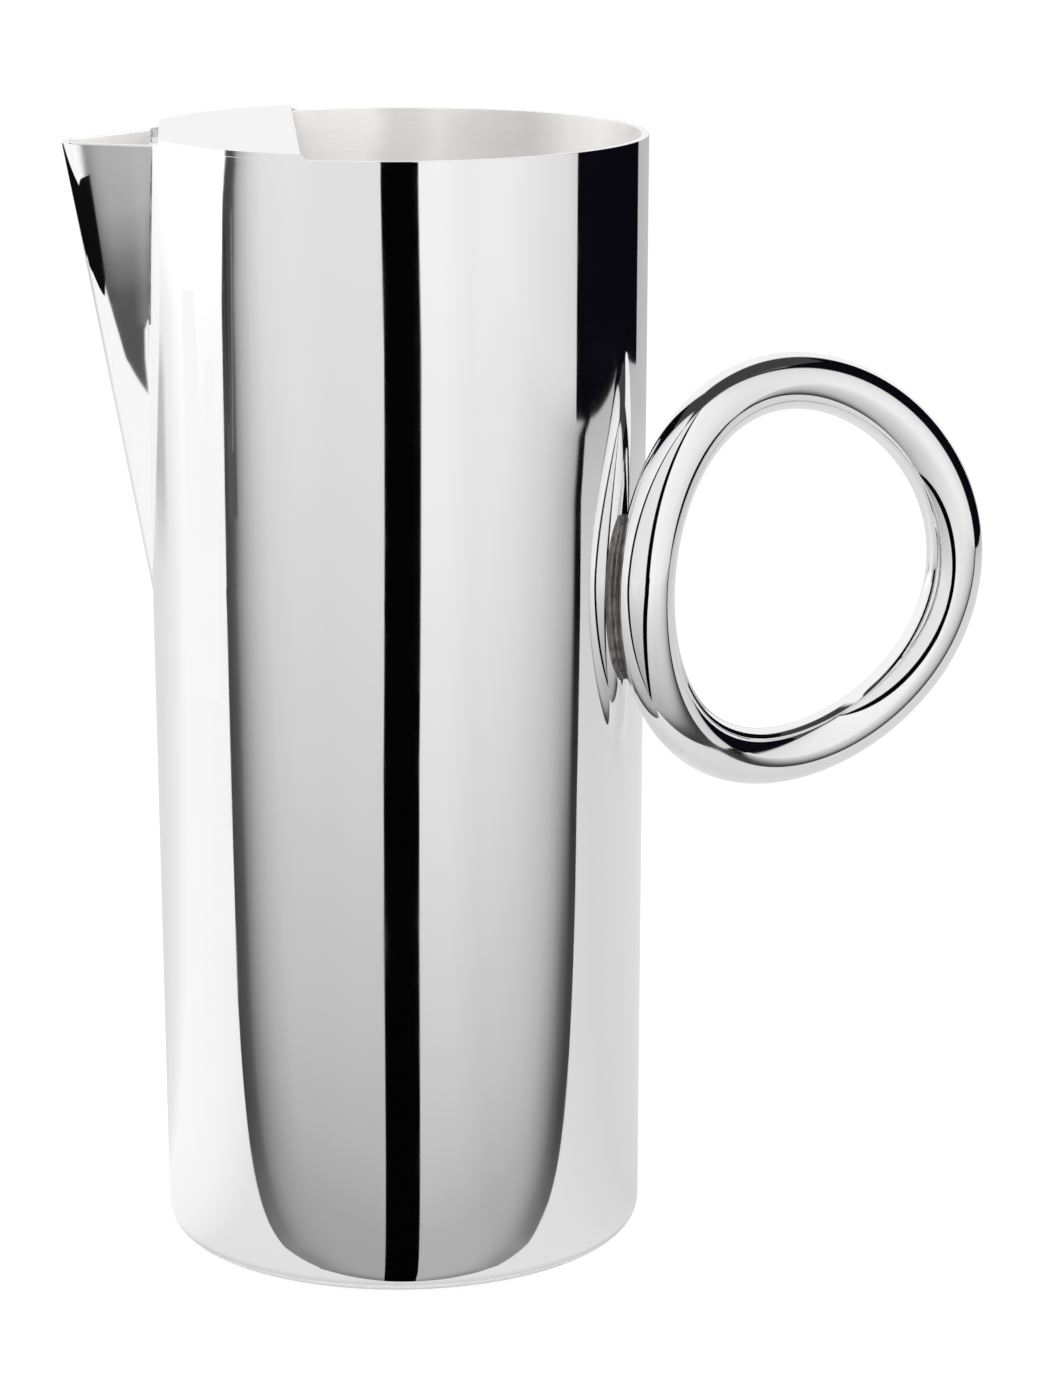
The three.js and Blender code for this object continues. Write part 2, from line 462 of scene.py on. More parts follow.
def cupProfile():
    top = cup["height"]
    down = -math.pi / 2
    corner = cup["corner"]
    innerZ = cup["floor"] + cup["innerCorner"]
    innerR = wallRadius(innerZ) - cup["wall"] - cup["innerCorner"]
    edge = cup["rimRound"]
    outerCorner = quarter(wallRadius(corner) - corner, corner, corner, down, 0, cup["arcSteps"])
    innerCorner = quarter(innerR, innerZ, cup["innerCorner"], 0, down, cup["arcSteps"])

    def foot(depthOfSurface):
        def under(z):
            return veeDepth(depthOfSurface - wallRadius(z), z) - spout["sheet"]
        return bisect(under, spoutFoot - searchRoom, top)

    outerFoot, innerFoot = foot(0.0), foot(cup["wall"])
    profile = [(r, 0.0) for r in spread(0.0, outerCorner[0][0], cup["floorRows"])]
    profile += outerCorner[1:]
    profile += [(wallRadius(z), z) for z in spread(corner, outerFoot, cup["wallRows"])][1:]
    climb = spread(outerFoot, top - edge - cup["rimStay"], cup["throatRows"], 1.3) + [top - edge]
    profile += [(wallRadius(z), z) for z in climb][1:]
    rimR = cup["rimRadius"]
    rimOut = quarter(rimR - edge, top - edge, edge, 0, math.pi / 2, cup["rimSteps"])
    lip = rimR - cup["wall"] + edge
    rimIn = quarter(lip, top - edge, edge, math.pi / 2, math.pi, cup["rimSteps"])
    profile += rimOut[1:] + rimIn[:-1]
    sink = [top - edge] + spread(innerFoot, top - edge - cup["rimStay"], cup["throatRows"], 1.3)[::-1]
    profile += [(wallRadius(z) - cup["wall"], z) for z in sink]
    profile += [(wallRadius(z) - cup["wall"], z) for z in spread(innerFoot, innerZ, cup["wallRows"])][1:]
    profile += innerCorner[1:]
    profile += [(r, cup["floor"]) for r in spread(innerCorner[-1][0], 0.0, cup["floorRows"])][1:]
    return profile


def makeCup():
    points = []
    rings = []
    openRings = []
    for number, (radius, z) in enumerate(cupProfile()):
        turn = throatTurn(radius, z, spout["sheet"]) if z > spoutFoot - searchRoom else 0.0
        columns = cup["columns"]
        if turn > 1e-5:
            openRings.append(number)
        else:
            turn = 0.0
        row = []
        for k in range(columns + (1 if turn else 0)):
            angle = turn + (2 * math.pi - 2 * turn) * k / columns
            row.append(len(points))
            points.append((-radius * math.cos(angle), -radius * math.sin(angle), z))
        rings.append(row if turn else row + row[:1])
    faces = strip(rings)
    first, last = openRings[0] - 1, openRings[-1] + 1
    for k in range((last - first) // 2):
        out, into = first + k, last - k
        for side in (0, -1):
            faces.append((rings[out][side], rings[out + 1][side], rings[into - 1][side], rings[into][side]))

    def finishOf(centre):
        radius = math.hypot(centre.x, centre.y)
        wallInside = radius < wallRadius(centre.z) - 0.8 * cup["wall"]
        return 1 if wallInside and centre.z > 0.5 * cup["floor"] else 0

    makePiece("cup", points, faces, [outside, inside], "body_cup", finishOf)


makeCup()


# Spout: one folded sheet with a rounded nose, its lower edges let into the wall

def spoutPoint(depth, side, inset, height):
    # side is -1, 0 or 1, and the height is measured at the nose
    x = depth - spout["reach"] + noseLean * (spoutTop - height)
    return Vector((x, side * veeHalf(depth, inset), height + fallSlope * depth))


def wallGap(point):
    return math.hypot(point.x, point.y) - wallRadius(point.z) + spout["bury"]


def spoutSection(inset):
    # (depth, side) across the fold, from the near cheek's end round the nose to the far one's
    bend = noseRadius - inset
    start = noseRadius - bend * math.sin(cheekAngle)
    end = bisect(lambda d: wallGap(spoutPoint(d, 1, inset, spoutTop)), start, mouthDepth + searchRoom)
    half = spread(end, start, spout["cheekColumns"])
    swing = math.pi / 2 - cheekAngle
    half += [noseRadius - bend * math.cos(a) for a in spread(swing, 0, spout["noseColumns"])[1:-1]]
    return [(d, -1) for d in half] + [(noseRadius - bend, 0)] + [(d, 1) for d in reversed(half)]


def spoutFace(inset):
    # for each place across the fold, the line from the wall up to the top edge
    lines = []
    for depth, side in spoutSection(inset):
        def gap(height):
            return wallGap(spoutPoint(depth, side, inset, height))
        foot = bisect(gap, spoutFoot - searchRoom, spoutTop + 1e-6)
        top = spoutTop - min(spout["edgeRound"], (spoutTop - foot) / 2)
        stay = top - min(spout["edgeStay"], (top - foot) / 2)
        heights = spread(foot, stay, spout["rows"]) + [top]
        lines.append([spoutPoint(depth, side, inset, h) for h in heights])
    return lines


def makeSpout():
    sheet, edge = spout["sheet"], spout["edgeRound"]
    outer, inner = spoutFace(0.0), spoutFace(sheet)
    soft = edge * (1 - math.sqrt(0.5))
    lips = []
    for inset, lower in ((soft, soft), (edge, 0.0), (sheet - edge, 0.0), (sheet - soft, soft)):
        lips.append([spoutPoint(d, s, inset, spoutTop - lower) for d, s in spoutSection(inset)])
    loops = []
    for k, (out, into) in enumerate(zip(outer, inner)):
        loops.append(out + [lip[k] for lip in lips] + into[::-1])
    points, faces = skin(loops)

    def finishOf(centre):
        deep = veeDepth(centre.x, centre.z)
        within = veeHalf(deep, 0.9 * sheet)
        return 1 if abs(centre.y) < within and centre.z < spoutTop + fallSlope * deep - 0.5 * edge else 0

    makePiece("foldedSpout", points, faces, [outside, inside], "spout", finishOf)


makeSpout()


# Spout seams: thin lines of filler where the cheeks meet the wall

spoutSeam = {
    "throw": 0.3 * mm,
    "rise": 0.4 * mm,
    "top": 0.2 * mm,
    "bottom": 14 * mm,
    "bury": 0.3 * mm,
    "steps": 60,
    "arcSteps": 8,
    "endRun": 0.12,  # share of its length that each end tapers over
    "endSwell": 0.15,
    "bright": 189 * mm,  # polished below this height
}


def makeSpoutSeam(name, node, side):
    loops = []
    low, high = spoutFoot + spoutSeam["bottom"], spoutTop - spoutSeam["top"]
    for k, z in enumerate(spread(low, high, spoutSeam["steps"])):
        along = k / (spoutSeam["steps"] - 1)
        swell = min(1.0, along / spoutSeam["endRun"], (1 - along) / spoutSeam["endRun"])
        swell = spoutSeam["endSwell"] + (1 - spoutSeam["endSwell"]) * math.sin(swell * math.pi / 2)
        radius = wallRadius(z)
        turn = throatTurn(radius, z, 0.0)

        def onWall(angle, out=0.0):
            return Vector((-(radius + out) * math.cos(angle), side * (radius + out) * math.sin(angle), z))

        corner = onWall(turn)
        deep, step = veeDepth(corner.x, z), 0.1 * mm
        slant = math.atan2(veeHalf(deep, 0) - veeHalf(deep - step, 0), step)
        toNose = Vector((-math.cos(slant), -side * math.sin(slant), 0))
        intoSheet = Vector((math.sin(slant), -side * math.cos(slant), 0))
        wallEnd = turn + spoutSeam["throw"] * swell / radius
        cheekEnd = corner + toNose * spoutSeam["rise"] * swell
        loop = bowed(onWall(wallEnd), corner, cheekEnd, spoutSeam["arcSteps"])
        loop.append(cheekEnd + intoSheet * spoutSeam["bury"])
        loop.append(onWall(wallEnd, -spoutSeam["bury"]))
        loops.append(loop)
    points, faces = skin(loops)

    def finishOf(centre):
        return 0 if centre.z > spoutSeam["bright"] else 1

    makePiece(name, points, faces, [seam, outside], node, finishOf)


makeSpoutSeam("spoutSeamNear", "spout_braze_near", -1)
makeSpoutSeam("spoutSeamFar", "spout_braze_far", 1)


# Ice guard: a flat plate on the rim with softened edges

guard = {
    "edge": -guardHigh[0],
    "shortEdge": -guardLow[0],
    "bottom": cup["height"] - 0.05 * mm,
    "top": guardHigh[2],
    "soft": 0.03 * mm,
    "underSoft": 0.004 * mm,
    "lip": 0.03 * mm,
    "arcSteps": 60,
    "edgeSteps": 24,
    "softSteps": 3,
}


def guardOutline():
    radius = cup["rimRadius"]
    near, far = math.acos(guard["edge"] / radius), math.acos(guard["shortEdge"] / radius)
    turns = spread(near, far, guard["arcSteps"])
    farSide = [Vector((-radius * math.cos(a), radius * math.sin(a))) for a in turns]
    nearSide = [Vector((p.x, -p.y)) for p in reversed(farSide)]

    def across(start, end):
        return [start.lerp(end, t) for t in spread(0, 1, guard["edgeSteps"])][1:-1]

    return farSide + across(farSide[-1], nearSide[0]) + nearSide + across(nearSide[-1], farSide[0])


def drawnIn(outline, distance):
    # the outline moved inward; it runs anticlockwise
    moved = []
    for k, point in enumerate(outline):
        before = (point - outline[k - 1]).normalized()
        after = (outline[(k + 1) % len(outline)] - point).normalized()
        inBefore, inAfter = Vector((-before.y, before.x)), Vector((-after.y, after.x))
        bisector = (inBefore + inAfter).normalized()
        moved.append(point + bisector * distance / max(bisector.dot(inBefore), 0.3))
    return moved


def makeGuard():
    outline = guardOutline()
    lip = guard["lip"]

    def rounded(soft):
        # (inset, distance from the flat face) round one edge of the plate
        turns = spread(0, math.pi / 2, guard["softSteps"] + 1)
        return [(soft + lip, 0.0)] + [(soft * (1 - math.sin(a)), soft * (1 - math.cos(a))) for a in turns]

    levels = [(inset, guard["bottom"] + rise) for inset, rise in rounded(guard["underSoft"])]
    levels += [(inset, guard["top"] - fall) for inset, fall in reversed(rounded(guard["soft"]))]
    loops = []
    for inset, z in levels:
        flare = taper * (z - guard["bottom"])
        loops.append([Vector((p.x, p.y, z)) for p in drawnIn(outline, inset - flare)])
    points, faces = skin(loops)
    makePiece("iceGuard", points, faces, [outside], "ice_guard", None, 10)


makeGuard()


# Guard seams: small hollow wedges on the rim at the ends of the plate's straight edge

guardSeam = {
    "length": 1.45 * mm,
    "height": 0.98 * mm,
    "bury": 0.2 * mm,
    "hollow": 1.35,
    "crown": 0.12,
    "lengthSteps": 14,
    "widthSteps": 8,
}


def makeGuardSeam(name, node, side):
    loops = []
    for u in spread(0, 1, guardSeam["lengthSteps"]):
        x = -guard["edge"] - guardSeam["bury"] * (1 - u) + guardSeam["length"] * u
        rise = guardSeam["height"] * (1 - u) ** guardSeam["hollow"]
        top = []
        base = []
        for v in spread(0, 1, guardSeam["widthSteps"]):
            radius = cup["rimRadius"] - cup["rimRound"] / 3 - v * (cup["wall"] - cup["rimRound"] * 2 / 3)
            y = side * math.sqrt(radius ** 2 - x ** 2)
            crown = 1 - guardSeam["crown"] * (2 * v - 1) ** 4
            top.append((x, y, cup["height"] + rise * crown))
            base.append((x, y, cup["height"] - guardSeam["bury"]))
        loops.append(top + base[::-1])
    points, faces = skin(loops)
    makePiece(name, points, faces, [outside], node)


makeGuardSeam("guardSeamNear", "guard_braze_near", -1)
makeGuardSeam("guardSeamFar", "guard_braze_far", 1)


# Ring handle: a round tube along a circle that bows out of its plane

ringAlong = Vector((math.cos(ring["twist"]), math.sin(ring["twist"])))
ringSquare = Vector((math.sin(ring["twist"]), -math.cos(ring["twist"])))
seatRadius = wallRadius(ring["height"]) + ring["tube"] - ring["notch"]
seatPlace = Vector((math.cos(ring["seat"]), math.sin(ring["seat"]))) * seatRadius
ringCentre = seatPlace + ringAlong * ring["radius"] - ringSquare * ring["warp"]


def ringPath(turn):
    plan = ringCentre + ringAlong * ring["radius"] * math.cos(turn)
    plan = plan + ringSquare * ring["warp"] * math.cos(2 * turn)
    return Vector((plan.x, plan.y, ring["height"] + ring["radius"] * math.sin(turn)))


def ringHeading(turn):
    plan = ringAlong * -ring["radius"] * math.sin(turn) - ringSquare * 2 * ring["warp"] * math.sin(2 * turn)
    return Vector((plan.x, plan.y, ring["radius"] * math.cos(turn))).normalized()


def makeRing():
    middle = Vector((ringCentre.x, ringCentre.y, ring["height"]))
    loops = []
    for k in range(ring["steps"]):
        turn = 2 * math.pi * k / ring["steps"]
        place, heading = ringPath(turn), ringHeading(turn)
        out = place - middle
        out = (out - heading * out.dot(heading)).normalized()
        square = heading.cross(out)
        loop = []
        for n in range(ring["sides"]):
            angle = 2 * math.pi * n / ring["sides"]
            point = place + (out * math.cos(angle) + square * math.sin(angle)) * ring["tube"]
            inward = wallRadius(point.z) / math.hypot(point.x, point.y)
            if inward > 1:
                point = Vector((point.x * inward, point.y * inward, point.z))
            loop.append(point)
        loops.append(loop)
    points, faces = skin(loops, capped=False)
    makePiece("ringHandle", points, faces, [outside], "handle_ring")


makeRing()


# Ring seam: the brushed filler in the crevices between ring and wall

ringSeam = {
    "throw": 1.4 * mm,
    "rise": 1.7 * mm,
    "bury": 0.35 * mm,
    "rows": 240,
    "arcSteps": 20,
    "endSwell": 0.55,
    "ripple": 0.06 * mm,
    "rippleAcross": 0.8,
    "rippleUp": 300.0,
}


def meetOf(placeA, headingA, placeB, headingB):
    # where two lines in plan cross
    area = headingA.x * headingB.y - headingA.y * headingB.x
    gap = placeB - placeA
    run = (gap.x * headingB.y - gap.y * headingB.x) / area
    return placeA + headingA * run


def seamSide(z, side, swell):
    # the hollow between wall and tube on one side, at one height, from the wall to the tube
    turn = math.pi - math.asin((z - ring["height"]) / ring["radius"])
    centre = ringPath(turn).to_2d()
    heading = ringHeading(turn).to_2d()
    bearing = math.atan2(centre.y, centre.x)
    inward = -centre.normalized()
    aside = Vector((-inward.y, inward.x)) * side
    radius = wallRadius(z)

    def onTube(angle):
        way = inward * math.cos(angle) + aside * math.sin(angle)
        return centre + way * ring["tube"] / math.sqrt(1 - way.dot(heading) ** 2)

    def onWall(angle):
        return Vector((math.cos(bearing - side * angle), math.sin(bearing - side * angle))) * radius

    def reach(angle):
        away = onWall(angle) - centre
        return away.length - (ring["tube"] + ringSeam["throw"] * swell)

    tubeAngle = bisect(lambda a: onTube(a).length - radius - ringSeam["rise"] * swell, 0.05, 1.6)
    wallAngle = bisect(reach, 0.0, 0.5)
    tubeEnd, wallEnd = onTube(tubeAngle), onWall(wallAngle)
    tubeTangent = (onTube(tubeAngle + 0.01) - onTube(tubeAngle - 0.01)).normalized()
    wallTangent = Vector((-wallEnd.y, wallEnd.x)).normalized()
    corner = meetOf(wallEnd, wallTangent, tubeEnd, tubeTangent)
    hollow = bowed(wallEnd, corner, tubeEnd, ringSeam["arcSteps"])
    hidden = wallEnd * (1 - ringSeam["bury"] / radius), tubeEnd + (centre - tubeEnd) * 0.1
    return hollow, hidden


def makeRingSeam():
    loops = []
    low, high = seamLow[2], seamHigh[2]
    for k, z in enumerate(spread(low, high, ringSeam["rows"])):
        along = 2 * k / (ringSeam["rows"] - 1) - 1
        swell = ringSeam["endSwell"] + (1 - ringSeam["endSwell"]) * (1 - abs(along) ** 5)
        loop = []
        for side in (1, -1):
            hollow, (wallHidden, tubeHidden) = seamSide(z, side, swell)
            row = []
            for n, point in enumerate(hollow):
                mid = math.sin(math.pi * n / ringSeam["arcSteps"])
                away = Vector((point.x, point.y)).normalized()
                spot = Vector((n * ringSeam["rippleAcross"], z * ringSeam["rippleUp"], 7.0 * side))
                lift = ringSeam["ripple"] * noise.noise(spot) * mid
                row.append(Vector((point.x + away.x * lift, point.y + away.y * lift, z)))
            row = [Vector((*wallHidden, z))] + row + [Vector((*tubeHidden, z))]
            loop += row if side > 0 else row[::-1]
        loops.append(loop)
    points, faces = skin(loops)
    makePiece("ringSeam", points, faces, [seam], "handle_braze", None, 60)


makeRingSeam()


# Camera, as the photograph was taken

camera = {
    "place": Vector((-36.8, -878.9, 318.9)) * mm,
    "aim": Vector((25.2, -1.8, 109.9)) * mm,
    "roll": math.radians(-0.11),
    "focusPixels": 4459.3,
    "imageHeight": 1399,
    "sensor": 36.0,
}


def makeCamera():
    data = bpy.data.cameras.new("camera")
    data.sensor_width = camera["sensor"]
    data.lens = camera["focusPixels"] / camera["imageHeight"] * camera["sensor"]
    data.clip_start = 0.01
    data.clip_end = 50
    eye = bpy.data.objects.new("camera", data)
    way = camera["aim"] - camera["place"]
    turn = way.to_track_quat("-Z", "Y").to_matrix().to_4x4()
    eye.matrix_world = Matrix.Translation(camera["place"]) @ turn @ Matrix.Rotation(camera["roll"], 4, "Z")
    scene.collection.objects.link(eye)
    scene.camera = eye


makeCamera()
print("camera ready")


# Studio: a white table, the greyer room in front of its edge, dark flags to the right,
# and small cards near the spout that only the metal sees

studio = {
    "turn": math.radians(-2.4),  # faces the camera, a little round from the spout's own side
    "size": 9.0,
    "frontEdge": [  # where the table ends and the room begins, in plan
        (-9, -3.5), (-1.785, -0.267), (-1.66, -0.207), (-1.305, -0.127), (-0.652, -0.069), (-0.213, -0.051),
        (-0.06, -0.0526), (-0.025, -0.0539), (-0.017, -0.0518), (-0.011, -0.0503), (-0.004, -0.0495),
        (0.01, -0.0493), (0.016, -0.0498), (0.027, -0.0522), (0.058, -0.0519), (0.137, -0.0455),
        (0.296, -0.031), (0.394, -0.025), (0.65, 0.0), (0.82, 0.01), (0.95, 0.06), (1.1, 0.4), (9, 4)],
}

allRays = ("camera", "diffuse", "glossy", "transmission", "shadow")


def studioPoint(x, y, z):
    c, s = math.cos(studio["turn"]), math.sin(studio["turn"])
    return (c * x - s * y, s * x + c * y, z)


def studioCard(name, corners, finish, seen=("glossy",)):
    mesh = bpy.data.meshes.new(name)
    mesh.from_pydata([studioPoint(*corner) for corner in corners], [], [tuple(range(len(corners)))])
    mesh.materials.append(finish)
    card = bpy.data.objects.new(name, mesh)
    scene.collection.objects.link(card)
    for kind in allRays:
        setattr(card, "visible_" + kind, kind in seen)


def studioAxes(f, vector):
    # a place or a direction in the studio's own axes
    settings = {"rotation_type": "Z_AXIS"}
    return f.parts(f.node("VectorRotate", settings, {"Vector": vector, "Angle": -studio["turn"]}))


def studioPlace(f):
    return studioAxes(f, f.node("NewGeometry", None, None, "Position"))


def bearing(f, x, y):
    # angle round from the studio's front, as 0 to 1, with 0.5 at the front
    angle = f.node("Math", {"operation": "ARCTAN2"}, {0: x, 1: 0.0 - y})
    return angle / (2 * math.pi) + 0.5


# Table: plain white to the eye, with its own levels in the metal

table = {
    "white": 1.04,
    "glowShare": 0.9,  # the rest is matt and takes the shadow
    "matt": 0.85,
    "round": [  # levels by degrees round from the front
        (-180, 0.74), (-145, 0.75), (-127, 0.84), (-115, 0.97), (-100, 0.965), (-85, 0.94), (-73, 0.89),
        (-61, 0.8), (20, 0.78), (60, 0.75), (95, 0.68), (125, 0.71), (160, 0.78), (180, 0.74)],
    "span": 1.6,  # distance from the middle that counts as 1 in the next lists
    "left": [(0.03, 0.97), (0.06, 1.0), (0.44, 1.0), (0.78, 1.06), (1.0, 1.26)],
    "right": [(0.22, 1.0), (0.375, 0.95), (0.5, 0.85), (0.63, 0.7), (0.81, 0.66)],
    "patchAway": [(0.42, 0.0), (0.55, 1.0), (0.68, 1.0), (0.77, 0.0)],  # a darker patch at the back left
    "patchRound": [(-150, 0.0), (-145, 1.0), (-135, 1.0), (-130, 0.0)],
    "patchShare": 0.7,
    "patchLevel": 0.42,
    "underSpan": 0.1,
    "under": [(0.46, 0.7), (0.5, 1.0)],  # shade under the rounded corner of the base
}


def tableFinish():
    f = newFinish("table")
    x, y, _ = studioPlace(f)
    turn = bearing(f, x, y)
    away = f.node("Math", {"operation": "SQRT"}, {0: x * x + y * y})
    far = away / table["span"]
    reach = f.mixColour(x < 0.0, f.ramp(far, table["right"]), f.ramp(far, table["left"]))
    mirrored = f.tinted(f.roundRamp(turn, table["round"]), reach)
    mirrored = f.tinted(mirrored, f.ramp(away / table["underSpan"], table["under"]))
    patch = f.roundRamp(turn, table["patchRound"]) * f.ramp(far, table["patchAway"])
    mirrored = f.mixColour(patch * table["patchShare"], mirrored, grey(table["patchLevel"]))
    byEye, byMetal = f.path("Is Camera Ray", "Is Glossy Ray")
    colour = f.mixColour(byEye, mirrored, grey(table["white"]))
    glow = f.node("Emission", None, {"Color": colour, "Strength": 1.0})
    matt = f.node("BsdfDiffuse", None, {"Color": grey(table["matt"])})
    top = f.node("MixShader", None, {0: byEye * table["glowShare"] + byMetal, 1: matt, 2: glow})
    under = f.node("NewGeometry", None, None, "Backfacing")
    return f.end(f.node("MixShader", None, {0: under, 1: top, 2: f.node("BsdfTransparent")}))


# Room: grey, dark along the table's edge and lighter farther off, with a black gap at the middle

room = {
    "edgeSpan": 4.0,  # width over which it follows the table's edge
    "level": [  # by the logarithm of the distance past the edge
        (0.0, 0.36), (0.38, 0.395), (0.56, 0.564), (0.707, 0.735), (0.784, 0.783), (0.9, 0.81)],
    "decades": 4.0,
    "round": [  # by degrees round from the front
        (-47, 1.015), (-31, 0.957), (0, 0.95), (1, 1.12), (21, 1.134), (33, 1.065), (39, 1.09), (51, 1.08),
        (63, 1.02), (75, 1.0)],
    "leftNear": [  # the dark border, by the slant between the edge and the place
        (0.0, 0.14), (0.095, 0.21), (0.125, 0.28), (0.155, 0.45), (0.215, 0.64), (0.28, 0.79), (0.38, 0.925),
        (0.55, 1.03)],
    "leftFar": [(0.115, 0.125), (0.15, 0.2), (0.19, 0.55), (0.25, 0.73), (0.38, 0.925), (0.55, 1.03)],
    "leftBlend": [(0.325, 0.0), (0.55, 1.0)],
    "rightNear": [
        (0.0, 0.13), (0.06, 0.15), (0.125, 0.31), (0.185, 0.58), (0.245, 0.79), (0.325, 0.95), (0.38, 1.0),
        (0.5, 1.03)],
    "rightFar": [
        (0.0, 0.005), (0.07, 0.02), (0.085, 0.25), (0.115, 0.76), (0.17, 0.87), (0.345, 0.975), (0.5, 1.03)],
    "rightBlend": [(0.125, 0.0), (0.325, 1.0)],
    "blendSpan": 2.0,
    "slantGrowth": 0.22,
    "paler": [(0.2, 0.6), (0.25, 0.38), (0.35, 0.22), (0.5, 0.08), (0.65, 0.0)],  # close to the base
    "palerSpan": 0.2,
    "gapLeft": (5.5 * mm, 0.115),  # the gap's half width at the base, and its growth with distance
    "gapRight": (1.0 * mm, 0.178),
    "gapBend": [  # it isn't quite straight
        (0.0, 0.512), (0.03, 0.496), (0.12, 0.443), (0.2, 0.43), (0.36, 0.56), (0.55, 0.69), (0.77, 0.55),
        (0.95, 0.45)],
    "bendSpan": 2.0,
    "bendThrow": 0.1,
    "gapLevel": 0.001,
}


def roomFinish():
    f = newFinish("room")
    x, y, _ = studioPlace(f)
    span = room["edgeSpan"]
    stops = [(u / span + 0.5, v + 0.5) for u, v in studio["frontEdge"] if abs(u) <= span / 2]
    ahead = f.ramp(x / span + 0.5, stops) - 0.5 - y
    width = f.node("Math", {"operation": "ABSOLUTE"}, {0: x})
    decades = f.node("Math", {"operation": "LOGARITHM"}, {0: ahead / mm + 1.0, 1: 10.0})
    colour = f.ramp(decades / room["decades"], room["level"])
    colour = f.tinted(colour, f.roundRamp(bearing(f, x, y), room["round"]))
    slant = ahead * (1.0 + room["slantGrowth"] * width) / (width + 2 * mm)

    def border(side):
        blend = f.ramp(width / room["blendSpan"], room[side + "Blend"])
        return f.mixColour(blend, f.ramp(slant, room[side + "Near"]), f.ramp(slant, room[side + "Far"]))

    dark = f.mixColour(x > 0.0, border("left"), border("right"))
    dark = f.mixColour(f.ramp(width / room["palerSpan"], room["paler"]), dark, grey(1.0))
    colour = f.tinted(colour, dark)
    away = 0.0 - y - cup["baseRadius"]
    bend = f.ramp(away / room["bendSpan"], room["gapBend"]) - 0.5
    across = x - bend * room["bendThrow"]
    (leftFoot, leftRun), (rightFoot, rightRun) = room["gapLeft"], room["gapRight"]
    gap = (0.0 - across < away * leftRun + leftFoot) * (across < away * rightRun + rightFoot)
    colour = f.mixColour(gap, colour, grey(room["gapLevel"]))
    return f.end(f.node("Emission", None, {"Color": colour, "Strength": 1.0}))


# Flags and cards, all seen by the metal alone. A cover says how solid a card is along y or z,
# between two places, and a reach how near the metal has to be to see it.

flags = {
    "foot": [(0.985, -0.041), (0.975, 0.31), (0.962, 0.651), (0.7, 0.879)],
    "height": 1.3,
    "level": 0.0035,
    "tint": (0.85, 0.75, 1.5),
}

noseShade = {
    "posts": [  # place in plan, then foot and top, in millimetres
        (-74.5, 23, 194, 221), (-82.2, 13, 192, 217), (-85.8, 2.5, 189.5, 212), (-85, -9, 186.3, 208.5),
        (-83.3, -16.6, 184.8, 210.5)],
    "level": 0.004,
    "reach": 29,
}


def cardBox(left, right, bottom, top):
    return [(left, bottom), (right, bottom), (right, top), (left, top)]


cards = {  # in millimetres, with outlines as (y, z) at one x
    "cheekShade": {
        "x": -210,
        "outline": cardBox(-73.5, -55.5, 118, 176),
        "level": 0.09,
        "along": "z",
        "between": (118, 176),
        "cover": [
            (0.0, 1.0), (0.345, 1.0), (0.414, 0.95), (0.483, 0.77), (0.56, 0.62), (0.63, 0.41), (0.7, 0.27),
            (0.767, 0.09), (0.897, 0.02), (0.966, 0.0)],
    },
    "cheekLight": {
        "x": -90,
        "outline": [
            (-33, 105), (-6, 105), (-6, 190), (-17.8, 190), (-20.6, 168.6), (-22.5, 163.6), (-24.3, 159.6),
            (-24.7, 167.5), (-25.5, 173.5), (-26.5, 175.5), (-33, 175.5)],
        "level": 0.97,
    },
    "edgeShade": {
        "x": -209.5,
        "outline": cardBox(-62.2, -57.8, 141, 184),
        "level": 0.004,
        "along": "y",
        "between": (-62.2, -57.8),
        "cover": [(0.0, 0.0), (0.36, 0.12), (0.6, 0.3), (0.79, 0.55), (1.0, 0.82)],
    },
    "edgeLight": {
        "x": -209,
        "outline": [(-57.8, 192), (-20, 192), (-20, 172), (-57.4, 167)],
        "level": 1.0,
        "reach": 170,
    },
    "edgeGlow": {
        "x": -209.5,
        "outline": cardBox(-75.5, -64, 134, 190),
        "level": 0.55,
        "along": "y",
        "lean": 0.114,  # its places along y shift by this share of z
        "between": (-54, -49),
        "cover": [(0.22, 0.0), (0.3, 0.3), (0.42, 0.3), (0.66, 0.15), (0.94, 0.0)],
    },
}


def cardFinish(name, card):
    f = newFinish(name)
    colour = [card["level"] * part for part in card.get("tint", (1.0, 1.0, 1.0))]
    glow = f.node("Emission", None, {"Color": (*colour, 1.0), "Strength": 1.0})
    if "cover" in card:
        _, y, z = studioPlace(f)
        along = z if card["along"] == "z" else y + z * card.get("lean", 0.0)
        start, end = [place * mm for place in card["between"]]
        solid = f.ramp((along - start) / (end - start), card["cover"])
    elif "reach" in card:
        distance, bounce = f.path("Ray Length", "Glossy Depth")
        solid = (distance < card["reach"] * mm) * (bounce < 1.5)
    else:
        return f.end(glow)
    return f.end(f.node("MixShader", None, {0: solid, 1: f.node("BsdfTransparent"), 2: glow}))


def makePanels(name, posts, finish):
    # upright panels from post to post
    for number, (start, end) in enumerate(zip(posts, posts[1:])):
        (x1, y1, foot1, top1), (x2, y2, foot2, top2) = start, end
        corners = [(x1, y1, foot1), (x2, y2, foot2), (x2, y2, top2), (x1, y1, top1)]
        studioCard(f"{name}{number}", corners, finish)


